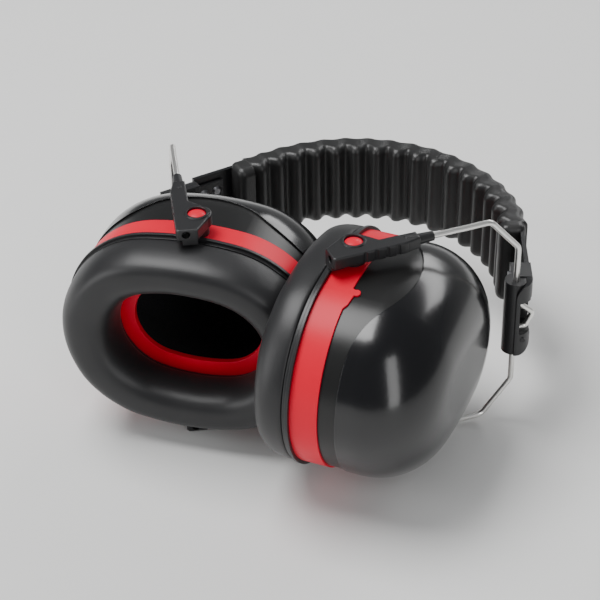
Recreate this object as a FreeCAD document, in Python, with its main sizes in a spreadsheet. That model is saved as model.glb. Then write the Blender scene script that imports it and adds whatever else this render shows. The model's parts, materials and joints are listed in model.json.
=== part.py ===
"""Folding over-the-head earmuff, lying on its side with both wire yokes folded inwards.

The row frame has +Z up, X along the line between the two yoke hinges (the ear axis) and +Y towards the crown.
Each moving group is drawn in a plain frame of its own and then placed:
  clip frame   X outboard, Y along the band towards the crown, origin on the yoke's hinge axis
  yoke frame   X along the wire's legs towards the cup, Y inboard, origin on the yoke's hinge axis
  cup frame    X along the cup's long axis, Y along the swivel axis, Z out of the cushion
Lengths are in millimetres and angles in degrees.
"""
import FreeCAD, Part
import math
import os
import re

import Sketcher
from FreeCAD import Placement, Rotation, Vector

DIMS = {
    # where the headset stands in the row frame
    "mid_height": 52.8, "box_centre_x": -4.099, "box_centre_y": -12.153,
    # headband: one arc and a straight tail to each hinge
    "hinge_half_span": 82, "arc_x": 4, "arc_y": 7.7, "strip_out_radius": 73.7, "strip_thick": 1.8,
    "strip_half_width": 17.8, "strip_offset": 6.4, "strip_end": 12.8,
    "pad_in_radius": 62.8, "pad_out_radius": 75, "pad_half_width": 19.8, "pad_gap": 0.3,
    "pad_tail_right": 4, "pad_tail_left": 22,
    # end clips
    "clip_half_height": 18, "clip_out": 7, "clip_split": 0, "clip_front": -5.8, "clip_back": 12.5,
    "clip_nose": 6.6, "clip_corner": 6.8, "low_round": 5.5, "keeper_thick": 1.8,
    "barrel_radius": 4.9, "knuckle_radius": 4.6, "knuckle_low": 10.5, "knuckle_high": 17.5, "kink_relief": 3.1,
    "window_in": 1.8, "window_low": -7, "window_high": 9,
    "pocket_half": 9.8, "pocket_front": -2, "pocket_back": 11,
    "tongue_in": 3.1, "tongue_back": 27, "tongue_half": 14,
    "rivet_radius": 1.5, "rivet_head": 2.6, "rivet_cap": 0.7, "rivet_near": 17, "rivet_far": 23.5, "rivet_side": 9,
    "screw_radius": 1.1, "screw_head": 1.9, "screw_back": 8.5, "screw_side": 14, "screw_length": 9,
    # wire yokes
    "wire_radius": 1.25, "bore_radius": 1.33, "leg_side": 50, "back_side": 34.3, "leg_bend": 13.4,
    "wire_end": 79, "wire_bend_radius": 4, "kink_bend_radius": 2,
    "kink_top": 8, "kink_shoulder_x": -5.4, "kink_shoulder_z": 7.2, "kink_tip_x": -8.8, "kink_tip_z": 1.4,
    "kink_bottom": -7,
    "right_leg_angle": 227.2, "left_leg_angle": 303.2,
    # arms that slide on the legs
    "arm_start": 39.5, "arm_neck_end": 52, "arm_end": 84.5, "arm_top": 2.4, "arm_bottom": -2.6,
    "arm_neck": 2, "arm_neck_wide": 2.7, "arm_body": 46, "arm_edge": 0.8, "arm_out": -4, "arm_in": 3,
    "pivot_along": 72, "pivot_in": 5.5,
    "lobe_radius": 5.6, "heel_start": 79, "heel_in": 4.8, "heel_bottom": -4.9,
    "mouth_radius": 1.7, "mouth_depth": 4,
    "grip_first": 51.5, "grip_pitch": 4.8, "grip_radius": 1.1, "grip_line": -4.6,
    "seat_radius": 4, "seat_floor": 0.5, "rim_radius": 5, "rim_top": 2.8,
    # swivel pins with their domed red heads
    "pin_radius": 2, "pin_bottom": -9, "pin_head": 3.8, "pin_head_top": 2.75, "pin_dome": 8,
    # cups: ovals of four arcs, parallel to the outside of the ring or to the opening for the ear
    "cup_half_length": 55, "cup_half_height": 43, "cup_end_radius": 42, "cup_shift": -1,
    "ear_half_length": 32.3, "ear_half_height": 23.5, "ear_end_radius": 22.5, "ear_shift": 0,
    "right_cup_angle": 92.8, "left_cup_angle": 10.4,
    "ring_front": 5.3, "ring_back": -6.6, "ring_wall": 2.4, "web_back": 2.9, "web_opening": -4,
    "flange_front": 6.7, "plate_front": 8.2, "plate_grow": 0.4,
    "flange_grow": 1.5, "flange_opening": 4, "plate_opening": 2,
    "cushion_front": 18.6, "cushion_grow": 1.4, "cushion_round_out": 7.5, "cushion_round_in": 7.5,
    "shell_grow": -0.8, "shell_back": -50, "shell_round": 30, "shell_wall": 2.4, "cap_wall": 1.1,
    "cap_proud": 0.7, "seam_near": -14, "seam_middle": -21.2, "seam_far": -28.4, "seam_half_wave": 48,
    "seam_middle_x": -3, "seam_quarter": 24, "seam_arc": 43.6,
    "liner_grow": -13, "liner_front": -12, "liner_back": -38, "liner_round": 16, "spigot_wall": 1.8,
    "boss_radius": 5, "boss_bore": 2.08, "boss_top": 46.8, "boss_bottom": 36,
    "tab_low": -28, "tab_high": -17, "tab_back": -8.8, "tab_pip_radius": 1.7,
}

os.makedirs("parts", exist_ok=True)
doc = FreeCAD.newDocument("earmuff")
sheet = doc.addObject("Spreadsheet::Sheet", "Dims")
for row, (alias, size) in enumerate(DIMS.items(), 1):
    sheet.set(f"A{row}", alias)
    sheet.set(f"B{row}", str(size))
    sheet.setAlias(f"B{row}", alias)
doc.recompute()

pieces = []


# ---------------------------------------------------------------- formulas

def formula(text):
    """A formula over the sheet's words, as FreeCAD wants it."""
    return re.sub(r"[a-z]\w+", lambda word: "Dims." + word[0] if word[0] in DIMS else word[0], str(text))


def total(text):
    """The value of a formula that is a sum: words and numbers with + or - between them."""
    value = 0.0
    for sign, word in re.findall(r"([+-]?)\s*([\w.]+)", text):
        size = float(sheet.get(word)) if word in DIMS else float(word)
        value += -size if sign == "-" else size
    return value


def bind(thing, **sizes):
    for name, text in sizes.items():
        thing.setExpression(name, formula(text))
    return thing


def put(thing, at, turn=None):
    """Place a thing at three formulas, turned by a Rotation."""
    thing.Placement = Placement(Vector(), turn or Rotation())
    for axis, text in zip("xyz", at):
        thing.setExpression("Placement.Base." + axis, formula(text))
    return thing


# ---------------------------------------------------------------- shapes

ALONG = {
    "x": Rotation(Vector(0, 1, 0), 90),
    "y": Rotation(Vector(1, 0, 0), -90),
    "z": Rotation(),
}


def rod(name, radius, length, at, along="z"):
    return put(bind(doc.addObject("Part::Cylinder", name), Radius=radius, Height=length), at, ALONG[along])


def cone(name, radius1, radius2, length, at, along="z"):
    thing = bind(doc.addObject("Part::Cone", name), Radius1=radius1, Radius2=radius2, Height=length)
    return put(thing, at, ALONG[along])


def block(name, low, high):
    """A box between two corners, each of three formulas."""
    thing = doc.addObject("Part::Box", name)
    for side, (a, b) in zip(("Length", "Width", "Height"), zip(low, high)):
        bind(thing, **{side: f"({b}) - ({a})"})
    return put(thing, low)


def fuse(name, *things):
    thing = doc.addObject("Part::MultiFuse", name)
    thing.Shapes = list(things)
    return thing


def common(name, *things):
    thing = doc.addObject("Part::MultiCommon", name)
    thing.Shapes = list(things)
    return thing


def cut(name, base, *tools):
    thing = doc.addObject("Part::Cut", name)
    thing.Base = base
    thing.Tool = tools[0] if len(tools) == 1 else fuse(name + "_tools", *tools)
    return thing


def repeat(name, thing):
    """The same shape again, free to be placed elsewhere."""
    copy = doc.addObject("Part::Refine", name)
    copy.Source = thing
    return copy


def extrude(name, sketch, length):
    thing = doc.addObject("Part::Extrusion", name)
    thing.Base = sketch
    thing.DirMode = "Normal"
    thing.Solid = True
    return bind(thing, LengthFwd=length)


def rounded(name, base, radius_of):
    """Fillet the base's edges, each by the formula that radius_of gives for it, if any."""
    doc.recompute()
    thing = doc.addObject("Part::Fillet", name)
    thing.Base = base
    radii = [(n, radius_of(edge)) for n, edge in enumerate(base.Shape.Edges, 1)]
    thing.Edges = [(n, total(radius), total(radius)) for n, radius in radii if radius]
    return thing


def outline(name, corners, at=("0", "0", "0"), turn=None):
    """A closed sketch through corners (x, y), each two formulas. A third is the radius of the arc that leaves the
    corner: it bulges to the right of the way round, or to the left if it starts with a minus sign."""
    sketch = put(doc.addObject("Sketcher::SketchObject", name), at, turn)
    points = [Vector(total(c[0]), total(c[1]), 0) for c in corners]
    for n, corner in enumerate(corners):
        start, end = points[n], points[(n + 1) % len(points)]
        if len(corner) == 2:
            sketch.addGeometry(Part.LineSegment(start, end), False)
            continue
        chord = end - start
        half = chord.Length / 2
        radius = total(corner[2].lstrip("-"))
        rise = radius - math.sqrt(radius**2 - half**2)
        way = -1 if corner[2].startswith("-") else 1
        top = (start + end) * 0.5 + Vector(chord.y, -chord.x, 0).normalize() * rise * way
        sketch.addGeometry(Part.ArcOfCircle(start, top, end), False)

    def end_at(side, point):
        return 1 if (sketch.getPoint(side, 1) - point).Length < 1e-6 else 2

    def hold(kind, text, *where):
        index = sketch.addConstraint(Sketcher.Constraint(kind, *where, total(text)))
        sketch.setExpression(f"Constraints[{index}]", formula(text))

    for n, (corner, point) in enumerate(zip(corners, points)):
        before = (n - 1) % len(points)
        sketch.addConstraint(
            Sketcher.Constraint("Coincident", before, end_at(before, point), n, end_at(n, point)))
        hold("DistanceX", corner[0], -1, 1, n, end_at(n, point))
        hold("DistanceY", corner[1], -1, 1, n, end_at(n, point))
        if len(corner) == 3:
            hold("Radius", corner[2].lstrip("-"), n)
    return sketch


def oval(name, grow, height, kind="cup"):
    """A sketch of the cup's oval, or of the ear's, grown outwards, at a height along the cup's outward axis: two
    end arcs about points on the long axis and two side arcs about points on the short axis, each tangent to the
    next."""
    sketch = put(doc.addObject("Sketcher::SketchObject", name), (kind + "_shift", "0", height))
    along = f"{kind}_half_length - {kind}_end_radius"
    rise = f"{kind}_half_height - {kind}_end_radius"
    end_radius = total(f"{kind}_end_radius") + total(grow)
    end_centre = total(along)
    step = total(rise)
    side_centre = (end_centre**2 - step**2) / (2 * step)
    side_radius = end_radius + math.hypot(end_centre, side_centre)
    lean = math.atan2(side_centre, end_centre)
    up = math.pi / 2
    arcs = [((end_centre, 0), end_radius, -lean, lean), ((0, -side_centre), side_radius, lean, 2 * up - lean),
            ((-end_centre, 0), end_radius, 2 * up - lean, 2 * up + lean),
            ((0, side_centre), side_radius, 2 * up + lean, 4 * up - lean)]
    for (x, y), radius, low, high in arcs:
        circle = Part.Circle(Vector(x, y, 0), Vector(0, 0, 1), radius)
        sketch.addGeometry(Part.ArcOfCircle(circle, low, high), False)
    for n in range(4):
        sketch.addConstraint(Sketcher.Constraint("Tangent", n, 2, (n + 1) % 4, 1))
    aside = f"(({along}) ^ 2 - ({rise}) ^ 2) / (2 * ({rise}))"
    # the last arc's X follows from the tangents
    places = [("DistanceX", 0, along), ("DistanceY", 0, "0"), ("DistanceX", 1, "0"),
              ("DistanceY", 1, f"-({aside})"), ("DistanceX", 2, f"-({along})"), ("DistanceY", 2, "0"),
              ("DistanceY", 3, aside)]
    for hold, n, text in places:
        size = arcs[n][0][0 if hold == "DistanceX" else 1]
        index = sketch.addConstraint(Sketcher.Constraint(hold, -1, 1, n, 3, size))
        sketch.setExpression(f"Constraints[{index}]", formula(text))
    index = sketch.addConstraint(Sketcher.Constraint("Radius", 0, end_radius))
    sketch.setExpression(f"Constraints[{index}]", formula(f"{kind}_end_radius + ({grow})"))
    return sketch


def oval_slab(name, grow, back, front, kind="cup"):
    """The oval between two heights along the cup's outward axis."""
    return extrude(name, oval(name + "_oval", grow, back, kind), f"({front}) - ({back})")


def piece(label, thing, where=None):
    """A finished sub-part: its label names its node, and its placement poses it in the row frame."""
    doc.recompute()
    thing.Label = label
    if where:
        thing.Placement = where.multiply(thing.Placement)
    pieces.append(thing)
    return thing


# ---------------------------------------------------------------- frames

ROW = Placement(Vector(-total("box_centre_x"), -total("box_centre_y"), total("mid_height")), Rotation())
SPAN = total("hinge_half_span")


def spin(angle, flip=0):
    """Turn about Z, after a turn about X."""
    return Rotation(Vector(0, 0, 1), angle).multiply(Rotation(Vector(1, 0, 0), flip))


def tail_lean(reach):
    """How far a tail leans from the crown line, for a hinge this far along X from the arc's centre."""
    drop = total("arc_y")
    inner = total("strip_out_radius - strip_offset")
    return math.degrees(math.acos(inner / math.hypot(reach, drop)) - math.atan2(drop, reach))


LEAN = {"right": tail_lean(SPAN - total("arc_x")), "left": tail_lean(SPAN + total("arc_x"))}
HINGE = {"right": Vector(SPAN, 0, 0), "left": Vector(-SPAN, 0, 0)}
CLIP = {"right": ROW * Placement(HINGE["right"], spin(LEAN["right"])),
        "left": ROW * Placement(HINGE["left"], spin(180 - LEAN["left"], 180))}
YOKE = {"right": ROW * Placement(HINGE["right"], spin(total("right_leg_angle"), 180)),
        "left": ROW * Placement(HINGE["left"], spin(total("left_leg_angle")))}
PIVOT = {side: YOKE[side] * Vector(total("pivot_along"), total("pivot_in"), 0) for side in YOKE}
CUP = {"right": Placement(PIVOT["right"], spin(total("right_cup_angle"), -90)),
       "left": Placement(PIVOT["left"], spin(total("left_cup_angle"), 90))}


# ---------------------------------------------------------------- headband

def band(label, inner, outer, half_width, tail):
    """The band between two radii, drawn flat and pushed both ways: an arc with a straight tail each side. The
    tails run on past the arc by tail["right"] and tail["left"]."""
    centre = Vector(total("arc_x"), total("arc_y"), -half_width)
    turn = {"right": math.radians(LEAN["right"]), "left": math.pi - math.radians(LEAN["left"])}

    def at(radius, angle):
        return centre + Vector(radius * math.cos(angle), radius * math.sin(angle), 0)

    def on(radius, side, run):
        way = -1 if side == "right" else 1
        angle = turn[side]
        return at(radius, angle) + Vector(-math.sin(angle), math.cos(angle), 0) * run * way

    top = (turn["right"] + turn["left"]) / 2
    edges = []
    for radius in (outer, inner):
        edges.append(Part.LineSegment(on(radius, "right", tail["right"]), at(radius, turn["right"])))
        edges.append(Part.Arc(at(radius, turn["right"]), at(radius, top), at(radius, turn["left"])))
        edges.append(Part.LineSegment(at(radius, turn["left"]), on(radius, "left", tail["left"])))
    for side in ("right", "left"):
        edges.append(Part.LineSegment(on(inner, side, tail[side]), on(outer, side, tail[side])))
    wire = Part.Wire(Part.__sortEdges__([edge.toShape() for edge in edges]))
    solid = Part.Face(wire).extrude(Vector(0, 0, 2 * half_width))
    thing = doc.addObject("Part::Feature", label)
    thing.Shape = solid
    return thing


def tail_length(side):
    """From the arc's end to the foot of the hinge axis on the tail."""
    reach = SPAN - total("arc_x") if side == "right" else SPAN + total("arc_x")
    lean = math.radians(LEAN[side])
    return reach * math.sin(lean) + total("arc_y") * math.cos(lean)


strip = band("headband_strip_blank", total("strip_out_radius - strip_thick"), total("strip_out_radius"),
             total("strip_half_width"), {side: tail_length(side) - total("strip_end") for side in LEAN})
rivet_spots = [(spot, way) for spot in ("rivet_near", "rivet_far") for way in ("", "-")]
strip_holes = []
for side in LEAN:
    holes = [rod(f"{side}_strip_hole_{n}", "rivet_radius", "8", ("2", spot, way + "rivet_side"), "x")
             for n, (spot, way) in enumerate(rivet_spots)]
    strip_holes.append(fuse(f"{side}_strip_holes", *holes))
    strip_holes[-1].Placement = ROW.inverse() * CLIP[side]
piece("headband_strip", cut("strip_with_holes", strip, *strip_holes), ROW)

pad_tail = {side: total(f"pad_tail_{side}") for side in LEAN}
pad = band("headband_pad_blank", total("pad_in_radius"), total("pad_out_radius"), total("pad_half_width"),
           pad_tail)
channel = band("headband_pad_channel", total("strip_out_radius - strip_thick - pad_gap"),
               total("strip_out_radius + pad_gap"), total("strip_half_width + pad_gap"),
               {side: length + 5 for side, length in pad_tail.items()})
piece("headband_pad", cut("pad_sleeve", pad, channel), ROW)

rivets, screws = [], []
for side in LEAN:
    # the clip's outer half: a block that rounds off below the hinge, with a tongue for the strip's end
    profile = outline(side + "_clip_profile", [
        ("clip_out", "clip_back"), ("clip_split", "clip_back"), ("clip_split", "clip_front"),
        ("clip_split + 1", "clip_front", "clip_nose"), ("clip_out", "0.5")], ("0", "0", "-clip_half_height"))
    body = extrude(side + "_clip_block", profile, "2 * clip_half_height")
    corner = cut(side + "_corner",
                 block(side + "_corner_block",
                       ("clip_split - 5", "clip_front - 1", "clip_half_height - clip_corner"),
                       ("clip_split + clip_corner", "2", "clip_half_height + 1")),
                 rod(side + "_corner_round", "clip_corner", "40",
                     ("clip_split + clip_corner", "-20", "clip_half_height - clip_corner"), "y"))
    low_edge = cut(side + "_low_edge",
                   block(side + "_low_block", ("clip_out - low_round", "clip_front - 1", "-clip_half_height - 1"),
                         ("clip_out + 1", "clip_back + 1", "low_round - clip_half_height")),
                   rod(side + "_low_rod", "low_round", "40",
                       ("clip_out - low_round", "-20", "low_round - clip_half_height"), "y"))
    tongue = block(side + "_tongue", ("tongue_in", "clip_back - 1", "-tongue_half"),
                   ("strip_offset - strip_thick", "tongue_back", "tongue_half"))
    pip = rod(side + "_clip_pip", "1.1", "3", ("3.6", "clip_front + 0.2", "-10"), "y")
    bore = rod(side + "_clip_bore", "bore_radius", "2 * clip_half_height + 2", ("0", "0", "-clip_half_height - 1"))
    pocket = block(side + "_kink_pocket", ("clip_split - 1", "pocket_front", "-pocket_half"),
                   ("clip_out + 3", "pocket_back", "pocket_half"))
    window = block(side + "_kink_window", ("window_in", "clip_front - 1", "window_low"),
                   ("clip_out + 3", "0", "window_high"))
    rivet_holes = [rod(f"{side}_clip_hole_{n}", "rivet_radius", "8", ("0", spot, way + "rivet_side"), "x")
                   for n, (spot, way) in enumerate(rivet_spots)]
    screw_holes = [rod(f"{side}_screw_hole_{way}", "screw_radius", "screw_length",
                       ("clip_split - 3", "screw_back", sign + "screw_side"), "x")
                   for way, sign in (("top", ""), ("low", "-"))]
    nosed = cut(side + "_clip_nosed", body, corner, low_edge)
    clip = cut(side + "_clip_cut", fuse(side + "_clip_whole", nosed, tongue, pip),
               bore, pocket, window, *rivet_holes, *screw_holes)
    piece(side + "_end_clip", clip, CLIP[side])

    # the keeper closes the barrel from the inboard side, with a knuckle round the wire at one end
    half_barrel = common(side + "_half_barrel",
                         rod(side + "_barrel", "barrel_radius", "2 * clip_half_height",
                             ("0", "0", "-clip_half_height")),
                         block(side + "_inboard", ("-9", "-9", "-clip_half_height"),
                               ("clip_split", "9", "clip_half_height")))
    plate = block(side + "_keeper_plate", ("clip_split - keeper_thick", "0", "-clip_half_height"),
                  ("clip_split", "clip_back", "clip_half_height"))
    knuckle = common(side + "_knuckle", corner,
                     rod(side + "_knuckle_rod", "knuckle_radius", "knuckle_high - knuckle_low",
                         ("0", "0", "knuckle_low")))
    relief = rod(side + "_kink_relief", "kink_relief", "2 * pocket_half", ("0", "0", "-pocket_half"))
    keeper = cut(side + "_keeper_cut", fuse(side + "_keeper_whole", half_barrel, plate, knuckle), bore, relief,
                 *screw_holes)
    piece(side + "_clip_keeper", keeper, CLIP[side])

    group = []
    for n, (spot, way) in enumerate(rivet_spots):
        shank = rod(f"{side}_rivet_{n}", "rivet_radius", "strip_offset - tongue_in + rivet_cap",
                    ("tongue_in - rivet_cap / 2", spot, way + "rivet_side"), "x")
        outer = cone(f"{side}_rivet_out_{n}", "rivet_head", "rivet_radius", "rivet_cap",
                     ("strip_offset", spot, way + "rivet_side"), "x")
        inner = cone(f"{side}_rivet_in_{n}", "rivet_radius", "rivet_head", "rivet_cap",
                     ("tongue_in - rivet_cap", spot, way + "rivet_side"), "x")
        group.append(fuse(f"{side}_rivet_whole_{n}", shank, outer, inner))
    rivets.append(fuse(side + "_rivets", *group))
    rivets[-1].Placement = CLIP[side]

    group = []
    for way, sign in (("top", ""), ("low", "-")):
        shank = rod(f"{side}_screw_{way}", "screw_radius", "screw_length - 3",
                    ("clip_split - keeper_thick - 0.5", "screw_back", sign + "screw_side"), "x")
        head = rod(f"{side}_screw_head_{way}", "screw_head", "1",
                   ("clip_split - keeper_thick - 1", "screw_back", sign + "screw_side"), "x")
        group.append(fuse(f"{side}_screw_whole_{way}", shank, head))
    screws.append(fuse(side + "_screws", *group))
    screws[-1].Placement = CLIP[side]
piece("band_rivets", fuse("all_rivets", *rivets))
piece("keeper_screws", fuse("all_screws", *screws))


# ---------------------------------------------------------------- yokes

def bent_path(points, radii):
    """A wire path through points, with an arc of the given radius at each point between the ends."""
    edges, start = [], points[0]
    for before, here, after, radius in zip(points, points[1:], points[2:], radii):
        towards, away = (before - here).normalize(), (after - here).normalize()
        half = towards.getAngle(away) / 2
        into = here + towards * (radius / math.tan(half))
        out = here + away * (radius / math.tan(half))
        middle = here + (towards + away).normalize() * (radius / math.sin(half) - radius)
        edges += [Part.LineSegment(start, into).toShape(), Part.Arc(into, middle, out).toShape()]
        start = out
    edges.append(Part.LineSegment(start, points[-1]).toShape())
    return Part.Wire(edges)


for side in LEAN:
    leg, back, bend = total("leg_side"), total("back_side"), total("leg_bend")
    turns = [
        (total("wire_end"), leg), (bend, leg), (0, back), (0, total("kink_top")),
        (total("kink_shoulder_x"), total("kink_shoulder_z")), (total("kink_tip_x"), total("kink_tip_z")),
        (0, total("kink_bottom")), (0, -back), (bend, -leg), (total("wire_end"), -leg)]
    path = bent_path([Vector(x, 0, z) for x, z in turns],
                     [total("wire_bend_radius")] * 2 + [total("kink_bend_radius")] * 4
                     + [total("wire_bend_radius")] * 2)
    start = Part.Wire(Part.makeCircle(total("wire_radius"), Vector(total("wire_end"), 0, leg), Vector(1, 0, 0)))
    wire = doc.addObject("Part::Feature", side + "_wire_shape")
    wire.Shape = path.makePipeShell([start], True, False)
    piece(side + "_yoke_wire", wire, YOKE[side])


# ---------------------------------------------------------------- arms and swivel pins

def arm(name):
    """The arm on the leg at +Z of a yoke frame."""
    def up(text):
        return f"leg_side + {text}"

    plan = outline(name + "_plan", [
        ("arm_body", "0.4 - arm_neck_wide"), ("grip_first + 2", "arm_out"), ("grip_first + 22", "arm_out"),
        ("arm_end - 0.8", "arm_out"), ("arm_end", "arm_out + 0.8"), ("arm_end", "heel_in"),
        ("pivot_along + 4.2", "pivot_in + 4.3", "lobe_radius"), ("pivot_along - 4.8", "pivot_in + 3.6"),
        ("arm_neck_end + 10", "arm_in"), ("arm_body", "arm_neck_wide")],
        ("0", "0", up("arm_bottom")))
    body = extrude(name + "_body", plan, "arm_top - arm_bottom")
    doc.recompute()
    top = total("leg_side + arm_top")
    body = rounded(name + "_soft", body, lambda edge: min(v.Z for v in edge.Vertexes) > top - 0.01 and "arm_edge")
    neck = cone(name + "_neck", "arm_neck", "arm_neck_wide", "arm_neck_end - arm_start",
                ("arm_start", "0", "leg_side"), "x")
    heel = block(name + "_heel", ("heel_start", "-1.5", up("heel_bottom")),
                 ("arm_end", "heel_in", up("arm_bottom + 1")))
    rim = rod(name + "_rim", "rim_radius", "rim_top - seat_floor", ("pivot_along", "pivot_in", up("seat_floor")))
    seat = rod(name + "_seat", "seat_radius", "5", ("pivot_along", "pivot_in", up("seat_floor")))
    hole = rod(name + "_pin_hole", "pin_radius + 0.05", "12", ("pivot_along", "pivot_in", up("arm_bottom - 3")))
    bore = rod(name + "_bore", "bore_radius", "60", ("arm_start - 1", "0", "leg_side"), "x")
    mouth = rod(name + "_mouth", "mouth_radius", "10", ("arm_end - mouth_depth", "0", "leg_side"), "x")
    grips = [rod(f"{name}_grip_{n}", "grip_radius", "12",
                 (f"grip_first + {n} * grip_pitch", "grip_line", up("-6"))) for n in range(5)]
    return cut(name + "_cut", fuse(name + "_whole", body, neck, heel, rim), seat, hole, bore, mouth, *grips)


def pin(name):
    """The swivel pin on the leg at +Z of a yoke frame, with a domed head."""
    shaft = rod(name + "_shaft", "pin_radius", "seat_floor - pin_bottom + 0.5",
                ("pivot_along", "pivot_in", "leg_side + pin_bottom"))
    blank = rod(name + "_blank", "pin_head", "pin_head_top - seat_floor + 1",
                ("pivot_along", "pivot_in", "leg_side + seat_floor"))
    dome = put(bind(doc.addObject("Part::Sphere", name + "_dome"), Radius="pin_dome"),
               ("pivot_along", "pivot_in", "leg_side + pin_head_top - pin_dome"))
    return fuse(name + "_whole", shaft, common(name + "_head", blank, dome))


def mirrored(name, thing):
    """The same thing on the leg at -Z."""
    copy = doc.addObject("Part::Mirroring", name)
    copy.Source = thing
    copy.Normal = Vector(0, 0, 1)
    return copy


for side in LEAN:
    for way in ("upper", "lower"):
        flipped = (side == "right") == (way == "upper")
        for kind, make in (("arm", arm), ("pin", pin)):
            label = f"{side}_{way}_{kind if kind == 'arm' else 'swivel_pin'}"
            thing = make(label + "_made")
            piece(label, mirrored(label + "_mirrored", thing) if flipped else thing, YOKE[side])


# ---------------------------------------------------------------- cups

def domed(name, grow, back, front, radius):
    """An oval slab with its back edge rounded."""
    base = oval_slab(name + "_slab", grow, back, front)
    doc.recompute()
    level = total(back)
    return rounded(name, base, lambda edge: all(abs(v.Z - level) < 0.01 for v in edge.Vertexes) and radius)


def cushion_ring(name):
    """The cushion's ring, rounded over its crest, outside and in."""
    ring = cut(name + "_ring", oval_slab(name + "_outer", "cushion_grow", "plate_front", "cushion_front"),
               oval_slab(name + "_inner", "0", "plate_front - 1", "cushion_front + 1", "ear"))
    doc.recompute()
    level = total("cushion_front")

    def radius_of(edge):
        if any(abs(v.Z - level) > 0.01 for v in edge.Vertexes):
            return None
        spot = edge.Vertexes[0].Point
        outside = math.hypot(spot.x, spot.y) > total("cup_end_radius")
        return "cushion_round_out" if outside else "cushion_round_in"

    return rounded(name, ring, radius_of)


for side in LEAN:
    where = CUP[side]
    pockets = [rod(f"{side}_boss_pocket_{n}", "boss_radius", "20", ("0", at, "0"), "y")
               for n, at in enumerate(("boss_bottom", "-boss_bottom - 20"))]
    tab_plan = outline(side + "_tab_plan", [
        ("tab_low", "ring_back"), ("tab_low + 2", "tab_back + 1"), ("tab_high - 1", "tab_back"),
        ("tab_high", "ring_back"), ("tab_high", "ring_back + 1"), ("tab_low", "ring_back + 1")],
        ("0", "0", "0"), Rotation(Vector(1, 0, 0), 90))
    tab = common(side + "_tab",
                 cut(side + "_tab_skin", oval_slab(side + "_tab_outer", "0", "tab_back - 2", "ring_back + 1"),
                     oval_slab(side + "_tab_inner", "shell_grow", "tab_back - 3", "ring_back + 2")),
                 fuse(side + "_tab_prism", extrude(side + "_tab_block", tab_plan, "60"),
                      rod(side + "_tab_pip", "tab_pip_radius", "60", ("tab_high - 2", "-60", "tab_back"), "y")))
    ring = cut(side + "_ring_cut", oval_slab(side + "_ring_outer", "0", "ring_back", "ring_front"),
               oval_slab(side + "_ring_inner", "-ring_wall", "ring_back - 1", "web_back"),
               *pockets)
    opening = oval_slab(side + "_opening", "web_opening", "web_back - 1", "ring_front + 1", "ear")
    piece(side + "_cup_ring", cut(side + "_ring_opened", fuse(side + "_ring_with_tab", ring, tab), opening), where)

    # the swivel bosses, one at each end of the swivel axis
    bosses = [rod(f"{side}_boss_{n}", "boss_radius", "boss_top - boss_bottom", ("0", at, "0"), "y")
              for n, at in enumerate(("boss_bottom", "-boss_top"))]
    boss_bore = rod(side + "_boss_bore", "boss_bore", "2 * boss_top + 2", ("0", "-boss_top - 1", "0"), "y")
    piece(side + "_swivel_bosses", cut(side + "_bosses_bored", fuse(side + "_bosses", *bosses), boss_bore), where)

    # the shell's gloss cap ends at a wavy seam, deepest at the middle of the cup
    wave = outline(side + "_seam", [
        ("-70", "seam_near"), ("seam_middle_x - seam_half_wave", "seam_near", "-seam_arc"),
        ("seam_middle_x - seam_quarter", "seam_middle", "seam_arc"), ("seam_middle_x", "seam_far", "seam_arc"),
        ("seam_middle_x + seam_quarter", "seam_middle", "-seam_arc"),
        ("seam_middle_x + seam_half_wave", "seam_near"), ("70", "seam_near"), ("70", "-60"), ("-70", "-60")],
        ("0", "60", "0"), Rotation(Vector(1, 0, 0), 90))
    cap_skin = cut(side + "_cap_skin",
                   domed(side + "_cap_outer", "shell_grow + cap_proud", "shell_back - cap_proud", "ring_back",
                         "shell_round + cap_proud"),
                   domed(side + "_cap_inner", "shell_grow + cap_proud - cap_wall",
                         "shell_back - cap_proud + cap_wall", "ring_back + 1",
                         "shell_round + cap_proud - cap_wall"))
    cap = common(side + "_cap_cut", cap_skin, extrude(side + "_seam_wave", wave, "120"))
    shell = cut(side + "_shell_cut",
                fuse(side + "_shell_whole",
                     domed(side + "_shell_outer", "shell_grow", "shell_back", "ring_back", "shell_round"),
                     oval_slab(side + "_spigot", "-ring_wall", "ring_back - 1", "web_back")),
                domed(side + "_cavity", "shell_grow - shell_wall", "shell_back + shell_wall", "ring_back - 1.5",
                      "shell_round - shell_wall"),
                oval_slab(side + "_spigot_opening", "-ring_wall - spigot_wall", "ring_back - 3", "web_back + 1"),
                cap, *pockets)
    piece(side + "_cup_shell", shell, where)
    piece(side + "_shell_cap", repeat(side + "_cap_whole", cap), where)

    liner = cut(side + "_liner_cut",
                domed(side + "_liner_outer", "shell_grow - shell_wall - 0.3", "shell_back + shell_wall + 0.3",
                      "liner_front", "shell_round - shell_wall - 0.3"),
                domed(side + "_liner_dish", "liner_grow", "liner_back", "liner_front + 1", "liner_round"))
    piece(side + "_foam_liner", liner, where)

    flange = cut(side + "_flange_cut",
                 oval_slab(side + "_flange_outer", "flange_grow", "ring_front", "flange_front"),
                 oval_slab(side + "_flange_inner", "flange_opening", "ring_front - 1", "flange_front + 1", "ear"))
    piece(side + "_seal_flange", flange, where)

    plate = cut(side + "_plate_cut",
                oval_slab(side + "_plate_outer", "plate_grow", "flange_front", "plate_front"),
                oval_slab(side + "_plate_inner", "plate_opening", "flange_front - 1", "plate_front + 1", "ear"))
    piece(side + "_cushion_plate", plate, where)

    piece(side + "_ear_cushion", cushion_ring(side + "_cushion"), where)


# ---------------------------------------------------------------- check and write

doc.recompute()
for thing in doc.Objects:
    if "Invalid" in thing.State or "Error" in thing.State:
        raise RuntimeError(f"{thing.Name}: {thing.getStatusString()}")
for thing in pieces:
    if thing.Shape.isNull() or not thing.Shape.isValid():
        raise RuntimeError(f"{thing.Label}: bad shape")
    thing.Shape.exportStep(f"parts/{thing.Label}.step")
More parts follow.
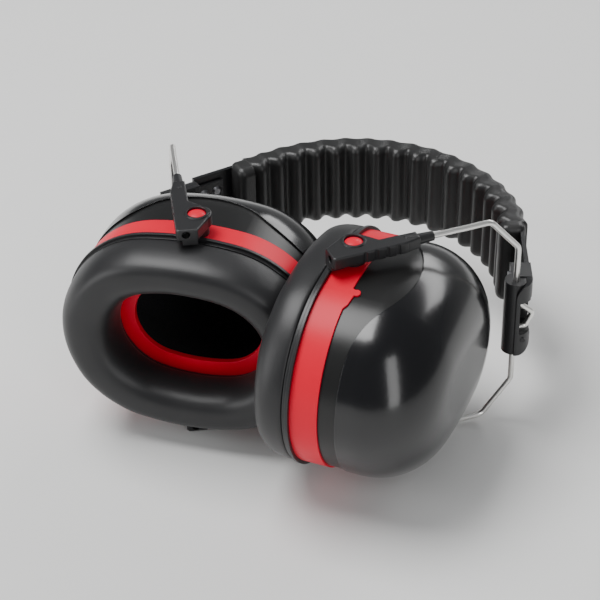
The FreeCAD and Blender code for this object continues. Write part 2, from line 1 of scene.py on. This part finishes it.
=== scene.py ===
"""Looks for the folded earmuff: soft pieces, materials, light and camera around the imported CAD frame."""
import json
import math

import bmesh
import bpy
import numpy as np
from mathutils import Matrix, Vector, noise
from mathutils.bvhtree import BVHTree


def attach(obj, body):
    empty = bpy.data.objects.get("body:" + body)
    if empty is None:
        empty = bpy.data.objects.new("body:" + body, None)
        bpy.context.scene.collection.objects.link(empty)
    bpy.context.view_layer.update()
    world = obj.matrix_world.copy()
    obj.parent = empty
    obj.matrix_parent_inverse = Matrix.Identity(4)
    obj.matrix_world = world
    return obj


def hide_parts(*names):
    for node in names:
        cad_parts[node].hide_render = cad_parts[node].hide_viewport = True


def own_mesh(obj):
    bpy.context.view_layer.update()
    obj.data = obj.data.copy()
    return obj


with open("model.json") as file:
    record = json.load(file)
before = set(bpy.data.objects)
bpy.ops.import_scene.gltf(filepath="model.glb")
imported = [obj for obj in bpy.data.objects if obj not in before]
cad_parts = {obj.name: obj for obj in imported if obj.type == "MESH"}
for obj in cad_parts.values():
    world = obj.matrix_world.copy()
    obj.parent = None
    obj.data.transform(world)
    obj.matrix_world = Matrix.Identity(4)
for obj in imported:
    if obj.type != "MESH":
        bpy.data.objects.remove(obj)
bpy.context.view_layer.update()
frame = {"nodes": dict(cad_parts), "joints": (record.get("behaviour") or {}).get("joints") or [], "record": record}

MM = 0.001
SIDES = ("right", "left")
MID = 52.8 * MM  # height of the headband's middle plane

# the band: one arc with a straight tail each side
HINGE_HALF_SPAN = 82 * MM
ARC_CENTRE = Vector((4, 7.7, 0)) * MM  # from the middle of the hinge line
TAIL_LINE = 67.3 * MM  # from the arc's centre to the line of each tail that meets the hinge
REACH = {"right": HINGE_HALF_SPAN - ARC_CENTRE.x, "left": HINGE_HALF_SPAN + ARC_CENTRE.x}
TAIL_LEAN = {side: math.acos(TAIL_LINE / math.hypot(reach, ARC_CENTRE.y)) - math.atan2(ARC_CENTRE.y, reach)
             for side, reach in REACH.items()}
PAD_TAIL = {"right": 4 * MM, "left": 22 * MM}
PAD_IN, PAD_OUT, PAD_HALF = 62.8 * MM, 74.5 * MM, 19.8 * MM
PAD_CORNER_IN, PAD_CORNER_OUT, PAD_END_ROUND = 3.8 * MM, 3 * MM, 3.2 * MM
RIBS, RIB_PITCH, FIRST_RIB, RIB_DEPTH = 16, 9.07 * MM, 6.3 * MM, 3.2 * MM
GROOVE_SHARPNESS = 2.6  # 2 makes grooves as wide as ribs, and more makes them narrower
OUTER_SHARE = 0.4  # how far the sleeve's outer face follows a groove, as a share of its depth
EDGE_BAND, EDGE_DIP = 5 * MM, 0.12  # how wide the pad's edges dip at a groove, and by what share of its depth
SKIN_LIFT = 0.18 * MM  # how uneven the pad's skin is

CUP_ANGLE = {"right": math.radians(92.8), "left": math.radians(10.4)}  # from +X to the cup's long axis
CUSHION_BACK, CUSHION_GROW = 8.4 * MM, 1.4 * MM
CUSHION_FRONT = {"right": 24.0 * MM, "left": 28.0 * MM}

joints = {j["name"]: j for j in frame["joints"]}
nodes = frame["nodes"]


# ---------------------------------------------------------------- mesh helpers

def new_object(name, verts, faces):
    """A smooth-shaded mesh object in the scene."""
    mesh = bpy.data.meshes.new(name)
    mesh.from_pydata([tuple(v) for v in verts], [], faces)
    mesh.update()
    mesh.polygons.foreach_set("use_smooth", [True] * len(mesh.polygons))
    thing = bpy.data.objects.new(name, mesh)
    bpy.context.scene.collection.objects.link(thing)
    return thing


def ring_grid(rings, closed):
    """The points and faces that join rings of equal size. If closed, the last ring is joined to the first."""
    count, size = len(rings), len(rings[0])
    faces = []
    for i in range(count if closed else count - 1):
        a, b = i * size, (i + 1) % count * size
        faces += [(a + j, a + (j + 1) % size, b + (j + 1) % size, b + j) for j in range(size)]
    return [p for ring in rings for p in ring], faces


def outward(thing):
    """Turn every face of a closed mesh outwards."""
    work = bmesh.new()
    work.from_mesh(thing.data)
    bmesh.ops.recalc_face_normals(work, faces=work.faces)
    work.to_mesh(thing.data)
    work.free()


def apply_modifiers(thing):
    """Put what the modifiers make in place of the mesh."""
    depsgraph = bpy.context.evaluated_depsgraph_get()
    mesh = bpy.data.meshes.new_from_object(thing.evaluated_get(depsgraph))
    old = thing.data
    thing.modifiers.clear()
    thing.data = mesh
    bpy.data.meshes.remove(old)
    mesh.polygons.foreach_set("use_smooth", [True] * len(mesh.polygons))


def rounded_profile(low, high, corners, step):
    """Points about one step apart round a rectangle from low to high, counter-clockwise from its lower left,
    with a radius per corner: lower left, lower right, upper right, upper left."""
    (x0, y0), (x1, y1) = low, high
    spots = [((x0, y0), 180), ((x1, y0), 270), ((x1, y1), 0), ((x0, y1), 90)]
    points = []
    for ((x, y), start), radius in zip(spots, corners):
        cx = x + (radius if x == x0 else -radius)
        cy = y + (radius if y == y0 else -radius)
        turns = max(3, round(radius * math.pi / 2 / step))
        for n in range(turns + 1):
            a = math.radians(start + 90 * n / turns)
            points.append((cx + radius * math.cos(a), cy + radius * math.sin(a)))
    dense = []
    for here, there in zip(points, points[1:] + points[:1]):
        parts = max(1, round(math.dist(here, there) / step))
        (ax, ay), (bx, by) = here, there
        dense += [(ax + (bx - ax) * n / parts, ay + (by - ay) * n / parts) for n in range(parts)]
    return dense


class Oval:
    """Two end arcs about points on X and two side arcs about points on Y, each tangent to the next."""

    def __init__(self, half_length, half_height, end_radius, shift):
        step = half_height - end_radius
        self.shift = shift
        self.end_x = half_length - end_radius
        self.side_y = (self.end_x**2 - step**2) / (2 * step)
        self.end_radius = end_radius
        self.side_radius = end_radius + math.hypot(self.end_x, self.side_y)
        self.lean = math.atan2(self.side_y, self.end_x)

    def point(self, turn, grow):
        """The point, with the oval grown outwards, where its outward normal points at this angle."""
        c, s = math.cos(turn), math.sin(turn)
        if abs(s) < math.sin(self.lean):
            reach = self.end_radius + grow
            return Vector((math.copysign(self.end_x, c) + reach * c + self.shift, reach * s, 0))
        reach = self.side_radius + grow
        return Vector((reach * c + self.shift, reach * s - math.copysign(self.side_y, s), 0))

    def turns(self, count):
        """Normal angles that space points evenly round the oval."""
        side_turn = math.pi - 2 * self.lean
        end, side = self.end_radius * 2 * self.lean, self.side_radius * side_turn
        lengths = np.cumsum([0, end, side, end, side])
        angles = np.cumsum([-self.lean, 2 * self.lean, side_turn, 2 * self.lean, side_turn])
        return np.interp(np.arange(count) / count * lengths[-1], lengths, angles)


CUP = Oval(55 * MM, 43 * MM, 42 * MM, -1 * MM)
EAR = Oval(32.3 * MM, 23.5 * MM, 22.5 * MM, 0)


# ---------------------------------------------------------------- frames

def cup_matrix(side):
    """Cup frame to row frame: X along the cup's long axis, Y along the swivel axis, Z out of the cushion."""
    angle = CUP_ANGLE[side]
    tip = Matrix.Rotation(math.radians(-90 if side == "right" else 90), 4, "X")
    return Matrix.Translation(joints[side + "_swivel"]["pos_m"]) @ Matrix.Rotation(angle, 4, "Z") @ tip


HINGE_MID = (Vector(joints["right_fold"]["pos_m"]) + Vector(joints["left_fold"]["pos_m"])) / 2
BAND_CENTRE = HINGE_MID + ARC_CENTRE


def band_point(run, radius, height):
    """A point of the band: run is the length along the pad's inner face from the right end of the arc."""
    first, last = TAIL_LEAN["right"], math.pi - TAIL_LEAN["left"]
    span = (last - first) * PAD_IN
    angle = first + min(max(run, 0), span) / PAD_IN
    over = min(run, 0) + max(run - span, 0)
    radial = Vector((math.cos(angle), math.sin(angle), 0))
    along = Vector((-math.sin(angle), math.cos(angle), 0))
    return BAND_CENTRE + radial * radius + along * over + Vector((0, 0, height))


# ---------------------------------------------------------------- materials

EDGE, EDGE_SAMPLES = 0.5 * MM, 6  # how far the light rounds a hard edge
COAT_ROUGH, SHEEN_ROUGH = 0.12, 0.4
PATCH_SCALE, PATCH_DETAIL = 38, 6  # uneven patches of finish, per metre
BUMP_HEIGHT, BUMP_DETAIL = 0.4 * MM, 5


def material(name, color, rough, metallic=0.0, coat=0.0, sheen=0.0, specular=0.5, hard=False, grain=(),
             vary=0.06, tint=0.12):
    """A Principled material whose roughness varies in patches by vary and its colour by the share tint.
    Each grain is a bump, given as its scale per metre, strength and kind. A hard material catches the light
    along its edges."""
    thing = bpy.data.materials.new(name)
    thing.use_nodes = True
    tree = thing.node_tree
    shader = tree.nodes["Principled BSDF"]
    shader.inputs["Metallic"].default_value = metallic
    shader.inputs["Coat Weight"].default_value = coat
    shader.inputs["Coat Roughness"].default_value = COAT_ROUGH
    shader.inputs["Sheen Weight"].default_value = sheen
    shader.inputs["Sheen Roughness"].default_value = SHEEN_ROUGH
    shader.inputs["Specular IOR Level"].default_value = specular
    where = tree.nodes.new("ShaderNodeTexCoord")

    patches = tree.nodes.new("ShaderNodeTexNoise")
    patches.inputs["Scale"].default_value = PATCH_SCALE
    patches.inputs["Detail"].default_value = PATCH_DETAIL
    tree.links.new(where.outputs["Object"], patches.inputs["Vector"])
    spread = tree.nodes.new("ShaderNodeMapRange")
    spread.inputs["To Min"].default_value = max(0.02, rough - vary)
    spread.inputs["To Max"].default_value = rough + vary
    tree.links.new(patches.outputs["Fac"], spread.inputs["Value"])
    tree.links.new(spread.outputs["Result"], shader.inputs["Roughness"])

    shade = tree.nodes.new("ShaderNodeMix")
    shade.data_type = "RGBA"
    shade.inputs["A"].default_value = (*[c * (1 - tint) for c in color], 1)
    shade.inputs["B"].default_value = (*[c * (1 + tint) for c in color], 1)
    tree.links.new(patches.outputs["Fac"], shade.inputs["Factor"])
    tree.links.new(shade.outputs["Result"], shader.inputs["Base Color"])

    normal = None
    if hard:
        edge = tree.nodes.new("ShaderNodeBevel")
        edge.samples = EDGE_SAMPLES
        edge.inputs["Radius"].default_value = EDGE
        normal = edge.outputs["Normal"]
    for scale, strength, kind in grain:
        texture = tree.nodes.new("ShaderNodeTexVoronoi" if kind == "cells" else "ShaderNodeTexNoise")
        texture.inputs["Scale"].default_value = scale
        if kind != "cells":
            texture.inputs["Detail"].default_value = BUMP_DETAIL
        tree.links.new(where.outputs["Object"], texture.inputs["Vector"])
        bump = tree.nodes.new("ShaderNodeBump")
        bump.inputs["Strength"].default_value = strength
        bump.inputs["Distance"].default_value = BUMP_HEIGHT
        tree.links.new(texture.outputs["Distance" if kind == "cells" else "Fac"], bump.inputs["Height"])
        if normal:
            tree.links.new(normal, bump.inputs["Normal"])
        normal = bump.outputs["Normal"]
    if normal:
        tree.links.new(normal, shader.inputs["Normal"])
    return thing


MATERIALS = {
    "strip_black": material("strip_black", (0.008, 0.008, 0.009), 0.34, specular=0.4,
                            grain=[(900, 0.08, "noise")]),
    "pad_skin": material("pad_skin", (0.014, 0.014, 0.014), 0.38, specular=0.5, sheen=0.04,
                         grain=[(1500, 0.16, "cells"), (300, 0.12, "noise")]),
    "black_plastic": material("black_plastic", (0.014, 0.014, 0.015), 0.36, specular=0.5, hard=True,
                              grain=[(2600, 0.10, "noise"), (160, 0.05, "noise")]),
    "red_plastic": material("red_plastic", (0.72, 0.003, 0.028), 0.38, specular=0.22, hard=True, tint=0.05,
                            grain=[(2200, 0.05, "noise")]),
    "gloss_shell": material("gloss_shell", (0.004, 0.004, 0.005), 0.20, specular=0.5, coat=0.3, hard=True,
                            vary=0.04, grain=[(60, 0.03, "noise")]),
    "shell_plastic": material("shell_plastic", (0.010, 0.010, 0.010), 0.30, specular=0.4, hard=True,
                              grain=[(1800, 0.05, "noise")]),
    "wire_steel": material("wire_steel", (0.86, 0.85, 0.82), 0.32, metallic=1.0,
                           grain=[(1200, 0.12, "noise")]),
    "fastener_steel": material("fastener_steel", (0.22, 0.22, 0.23), 0.35, metallic=1.0,
                               grain=[(1500, 0.1, "noise")]),
    "cushion_skin": material("cushion_skin", (0.015, 0.015, 0.016), 0.40, specular=0.42, sheen=0.04,
                             grain=[(2400, 0.10, "cells"), (260, 0.10, "noise")]),
    "grey_foam": material("grey_foam", (0.020, 0.020, 0.022), 0.9, specular=0.2,
                          grain=[(900, 0.9, "cells"), (2600, 0.5, "noise")]),
}


def finish_in(thing, slot):
    """Give a piece the material of one of the record's slots."""
    thing.data.materials.clear()
    thing.data.materials.append(MATERIALS[slot])


for part in frame["record"]["subparts"]:
    node = nodes[part["node"]]
    for place in range(len(node.material_slots)):
        node.material_slots[place].material = MATERIALS[part["material_slot"]]


# ---------------------------------------------------------------- headband cover

def rib_height(run):
    """0 at the bottom of a groove and 1 on a rib's crest. The pad's plain ends are all crest."""
    place = (run - FIRST_RIB) / RIB_PITCH
    if not -0.5 < place < RIBS - 0.5:
        return 1.0
    return 1 - abs(math.sin(math.pi * place)) ** GROOVE_SHARPNESS


def headband_cover():
    """A corrugated sleeve: its section is a rounded rectangle that steps outwards at each groove, more so
    on the side next to the head."""
    low, high = (PAD_IN, -PAD_HALF), (PAD_OUT, PAD_HALF)
    corners = [PAD_CORNER_IN, PAD_CORNER_OUT, PAD_CORNER_OUT, PAD_CORNER_IN]
    profile = rounded_profile(low, high, corners, 0.9 * MM)
    thick, middle = PAD_OUT - PAD_IN, (PAD_IN + PAD_OUT) / 2
    span = (math.pi - TAIL_LEAN["left"] - TAIL_LEAN["right"]) * PAD_IN
    start, end = -PAD_TAIL["right"], span + PAD_TAIL["left"]
    steps = 480
    rings = []
    for n in range(steps + 1):
        run = start + (end - start) * n / steps
        groove = (1 - rib_height(run)) * RIB_DEPTH
        to_end = min(run - start, end - run)
        into_end = max(0.0, PAD_END_ROUND - to_end)
        shrink = PAD_END_ROUND - math.sqrt(max(0.0, PAD_END_ROUND**2 - into_end**2))
        ring = []
        for r, z in profile:
            edge = max(0.0, abs(z) - PAD_HALF + EDGE_BAND) / EDGE_BAND
            radius = r + groove * (1 - (1 - OUTER_SHARE) * (r - PAD_IN) / thick)
            radius += (middle - radius) * min(1, shrink / thick * 2)
            dip = groove * EDGE_DIP * edge + shrink * 0.9 * abs(z) / PAD_HALF
            height = z - math.copysign(1, z) * dip
            lift = noise.noise(Vector((run * 60, z * 90, r * 60))) * SKIN_LIFT
            ring.append(band_point(run, radius + lift, MID + height - BAND_CENTRE.z))
        rings.append(ring)
    verts, faces = ring_grid(rings, False)
    size = len(rings[0])
    faces.append(tuple(reversed(range(size))))
    faces.append(tuple(range(steps * size, (steps + 1) * size)))
    cover = new_object("headband_cover", verts, faces)
    outward(cover)
    finish_in(cover, "pad_skin")
    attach(cover, "headband")
    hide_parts("headband_pad")


headband_cover()


# ---------------------------------------------------------------- ear cushions

SWELL_CAP, SWELL_FRAMES = 1.5 * MM, 20
INSET = 0.8 * MM  # how much smaller the cushion is before it is blown up
PINNED = 1.8 * MM  # how far up from its back the cushion is held
WRINKLE = 0.30 * MM
CREST, CREST_INSIDE, CREST_OUTSIDE, ARC_STEPS = 0.57, 2.8, 2.6, 14
CONTACT_GAP, CONTACT_REACH, CONTACT_PASSES, SPREAD_PASSES = 0.15 * MM, 25 * MM, 6, 12


def inflate(thing, pinned, cap):
    """Blow a closed mesh up with Cloth, holding the pinned points, and let no point move further than cap."""
    before = np.array([v.co for v in thing.data.vertices])
    group = thing.vertex_groups.new(name="held")
    group.add(pinned, 1.0, "REPLACE")
    cloth = thing.modifiers.new("Cloth", "CLOTH")
    cloth.settings.quality = 6
    cloth.settings.mass = 0.15
    cloth.settings.tension_stiffness = 25
    cloth.settings.compression_stiffness = 10
    cloth.settings.shear_stiffness = 12
    cloth.settings.bending_stiffness = 0.6
    cloth.settings.use_pressure = True
    cloth.settings.uniform_pressure_force = 4
    cloth.settings.vertex_group_mass = "held"
    cloth.settings.effector_weights.gravity = 0
    cloth.collision_settings.use_collision = False
    cloth.point_cache.frame_start, cloth.point_cache.frame_end = 1, SWELL_FRAMES
    for step in range(1, SWELL_FRAMES + 1):
        bpy.context.scene.frame_set(step)
    depsgraph = bpy.context.evaluated_depsgraph_get()
    swollen = thing.evaluated_get(depsgraph)
    after = np.array([v.co for v in swollen.data.vertices])
    thing.modifiers.clear()
    bpy.context.scene.frame_set(1)
    move = after - before
    reach = np.linalg.norm(move, axis=1, keepdims=True)
    move *= np.minimum(1, cap / np.maximum(reach, 1e-9))
    thing.data.vertices.foreach_set("co", (before + move).ravel())
    thing.data.update()


def cushion_section(front):
    """The soft ring's section, as (across, height) with across 0 at the opening and 1 at the outside:
    a flat back and two quarter superellipses that meet at a crest just outside the middle."""
    foot, top = CUSHION_BACK + 1.2 * MM, front - INSET
    points = []
    for n in range(ARC_STEPS + 1):
        a = math.pi / 2 * n / ARC_STEPS
        across = 1 - (1 - CREST) * (1 - math.cos(a) ** (2 / CREST_OUTSIDE))
        points.append((across, foot + (top - foot) * math.sin(a) ** (2 / CREST_OUTSIDE)))
    for n in range(1, ARC_STEPS + 1):
        a = math.pi / 2 * (1 - n / ARC_STEPS)
        across = CREST * (1 - math.cos(a) ** (2 / CREST_INSIDE))
        points.append((across, foot + (top - foot) * math.sin(a) ** (2 / CREST_INSIDE)))
    points += [(0.02, CUSHION_BACK + 0.4 * MM), (0.06, CUSHION_BACK)]
    points += [(0.06 + 0.9 * n / 10, CUSHION_BACK) for n in range(1, 11)]
    points.append((0.985, CUSHION_BACK + 0.4 * MM))
    return points


def cushion(side):
    """A soft ring round the ear, blown up by Cloth from a slightly smaller shape."""
    section = cushion_section(CUSHION_FRONT[side])
    rings = []
    for turn in CUP.turns(150):
        inner, outer = EAR.point(turn, INSET), CUP.point(turn, CUSHION_GROW - INSET)
        rings.append([inner.lerp(outer, across) + Vector((0, 0, height)) for across, height in section])
    verts, faces = ring_grid(rings, True)
    ring = new_object(side + "_cushion", verts, faces)
    outward(ring)
    held = [i for i, v in enumerate(verts) if v.z < CUSHION_BACK + PINNED]
    inflate(ring, held, SWELL_CAP)
    for vert in ring.data.vertices:
        soft = max(0.0, min(1.0, (vert.co.z - CUSHION_BACK - 2 * MM) / (8 * MM)))
        vert.co += vert.normal * noise.noise(vert.co * 70) * WRINKLE * soft
    ring.modifiers.new("Smooth", "SUBSURF").levels = 1
    apply_modifiers(ring)
    ring.data.transform(cup_matrix(side))
    finish_in(ring, "cushion_skin")
    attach(ring, side + "_cup")
    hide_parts(side + "_ear_cushion")
    return ring


def surface(thing):
    """A search tree over an object's faces."""
    mesh = thing.data
    return BVHTree.FromPolygons([v.co for v in mesh.vertices], [p.vertices for p in mesh.polygons])


def way_out(thing, other):
    """Half of the move that takes each point inside the other surface out of it."""
    push = np.zeros((len(thing.data.vertices), 3))
    for i, vert in enumerate(thing.data.vertices):
        spot, normal, _, far = other.find_nearest(vert.co)
        if far < CONTACT_REACH and (vert.co - spot).dot(normal) < CONTACT_GAP:
            push[i] = (spot + normal * CONTACT_GAP - vert.co) * 0.5
    return push


def spread_out(thing, push):
    """The same moves, fading out over the points around them."""
    ends = np.array([e.vertices for e in thing.data.edges])
    ways = np.bincount(ends.ravel(), minlength=len(push))[:, None]
    spread = push.copy()
    for _ in range(SPREAD_PASSES):
        total = np.zeros_like(push)
        np.add.at(total, ends[:, 0], spread[ends[:, 1]])
        np.add.at(total, ends[:, 1], spread[ends[:, 0]])
        spread = total / ways
        deeper = np.linalg.norm(push, axis=1) > np.linalg.norm(spread, axis=1)
        spread[deeper] = push[deeper]
    return spread


def press_together(pair):
    """Let two soft rings dent each other where they cross: each gives way by half."""
    for _ in range(CONTACT_PASSES):
        trees = [surface(ring) for ring in pair]
        for ring, other in zip(pair, reversed(trees)):
            here = np.array([v.co for v in ring.data.vertices])
            there = here + spread_out(ring, way_out(ring, other))
            ring.data.vertices.foreach_set("co", there.ravel())
            ring.data.update()


def give_way(ring):
    """Give a cushion a mesh of its own."""
    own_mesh(ring)


cushions = {side: cushion(side) for side in SIDES}
press_together(list(cushions.values()))
for side in SIDES:
    give_way(cushions[side])


# ---------------------------------------------------------------- foam liners

LINER_OUT, LINER_IN = -3.5 * MM, -13 * MM  # its walls, as the cup's oval grown
LINER_BACK, LINER_FRONT, LINER_FLOOR = -47.3 * MM, -12 * MM, -38 * MM
OUT_ROUND, IN_ROUND, LIP, LIP_CORNER, LIP_DROP = 27.3 * MM, 16 * MM, 3 * MM, 1 * MM, 0.6 * MM
OUT_STEPS, IN_STEPS, LINER_TURNS = 14, 10, 120
FOAM_LIFT = 0.5 * MM


def liner_section():
    """The dish's section, as (grow, height): up the outer wall, over the lip and down to the floor."""
    points = []
    for n in range(OUT_STEPS + 1):
        a = math.pi / 2 * n / OUT_STEPS
        points.append((LINER_OUT - OUT_ROUND * (1 - math.sin(a)), LINER_BACK + OUT_ROUND * (1 - math.cos(a))))
    lip = [(0, LIP), (LIP_CORNER, LIP_DROP), (LIP, 0)]
    points += [(LINER_OUT - aside, LINER_FRONT - drop) for aside, drop in lip]
    points += [(LINER_IN + aside, LINER_FRONT - drop) for aside, drop in reversed(lip)]
    for n in range(IN_STEPS + 1):
        a = math.pi / 2 * (1 - n / IN_STEPS)
        points.append((LINER_IN - IN_ROUND * (1 - math.sin(a)), LINER_FLOOR + IN_ROUND * (1 - math.cos(a))))
    return points


def liner(side):
    """The open-cell foam dish inside a cup: an oval bowl with a soft, uneven face."""
    turns = CUP.turns(LINER_TURNS)
    rings = [[CUP.point(turn, grow) + Vector((0, 0, height)) for turn in turns]
             for grow, height in liner_section()]
    verts, faces = ring_grid(rings, False)
    last = (len(rings) - 1) * LINER_TURNS
    faces.append(tuple(reversed(range(LINER_TURNS))))
    faces.append(tuple(range(last, last + LINER_TURNS)))
    foam = new_object(side + "_liner", verts, faces)
    outward(foam)
    seen = (OUT_STEPS + 2) * LINER_TURNS  # the points from the lip inwards
    for vert in foam.data.vertices:
        if vert.co.z > LINER_FLOOR - 1 * MM and vert.index >= seen:
            vert.co += vert.normal * noise.noise(vert.co * 130) * FOAM_LIFT
    foam.data.transform(cup_matrix(side))
    finish_in(foam, "grey_foam")
    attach(foam, side + "_cup")
    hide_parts(side + "_foam_liner")


for side in SIDES:
    liner(side)


# ---------------------------------------------------------------- camera and light

CAMERA_AIM = HINGE_MID + Vector((-5.16, -29.0, 0)) * MM
AZIMUTH, ELEVATION, ROLL = math.radians(26.15), math.radians(35.48), math.radians(-0.8)
DISTANCE, LENS, SENSOR = 844.9 * MM, 117.8, 36
LIGHT_AIM = Vector((0, 0, 50)) * MM
FLOOR_HALF, RISE_START, RISE_RUN, RISE = 3.0, 1.4, 1.6, 1.2  # the floor curves up behind the object
FLOOR_STEPS = 32


def camera():
    data = bpy.data.cameras.new("camera")
    data.lens, data.sensor_width = LENS, SENSOR
    data.clip_start, data.clip_end = 0.05, 20
    thing = bpy.data.objects.new("camera", data)
    bpy.context.scene.collection.objects.link(thing)
    level = math.cos(ELEVATION)
    back = Vector((math.sin(AZIMUTH) * level, -math.cos(AZIMUTH) * level, math.sin(ELEVATION)))
    thing.location = CAMERA_AIM + back * DISTANCE
    turn = (-back).to_track_quat("-Z", "Y").to_matrix().to_4x4() @ Matrix.Rotation(ROLL, 4, "Z")
    thing.rotation_euler = turn.to_euler()
    bpy.context.scene.camera = thing


def softbox(name, spot, width, height, watts):
    """A white area light at a spot, turned to the object."""
    data = bpy.data.lights.new(name, "AREA")
    data.shape, data.size, data.size_y = "RECTANGLE", width, height
    data.energy = watts
    thing = bpy.data.objects.new(name, data)
    bpy.context.scene.collection.objects.link(thing)
    thing.location = spot
    aim = LIGHT_AIM - Vector(spot)
    thing.rotation_euler = aim.to_track_quat("-Z", "Y").to_euler()


def floor():
    """A sheet of pale paper, flat under the object and rising behind it."""
    verts = []
    for n in range(FLOOR_STEPS + 1):
        y = -FLOOR_HALF + n / FLOOR_STEPS * 2 * FLOOR_HALF
        up = min(1, max(0, (y - RISE_START) / RISE_RUN))
        z = RISE * (1 - math.cos(up * math.pi / 2))
        verts += [Vector((-FLOOR_HALF, y, z)), Vector((FLOOR_HALF, y, z))]
    faces = [(2 * i, 2 * i + 1, 2 * i + 3, 2 * i + 2) for i in range(FLOOR_STEPS)]
    plane = new_object("floor", verts, faces)
    paper = material("floor_paper", (0.78, 0.78, 0.77), 0.7, tint=0.01, grain=[(500, 0.03, "noise")])
    plane.data.materials.append(paper)


def studio_air():
    """A faint, slightly cool light from all round."""
    world = bpy.data.worlds.new("studio")
    world.use_nodes = True
    background = world.node_tree.nodes["Background"]
    background.inputs["Color"].default_value = (0.75, 0.77, 0.8, 1)
    background.inputs["Strength"].default_value = 0.25
    bpy.context.scene.world = world


camera()
floor()
studio_air()
softbox("key", (-0.5, -0.1, 1.3), 0.9, 0.7, 22)
softbox("fill", (1.15, -1.05, 0.75), 0.45, 1.7, 9)
softbox("side", (-1.1, -1.1, 0.5), 0.5, 1.1, 9)
softbox("rim", (0.3, 1.3, 0.9), 1.2, 0.4, 9)

bpy.context.view_layer.update()
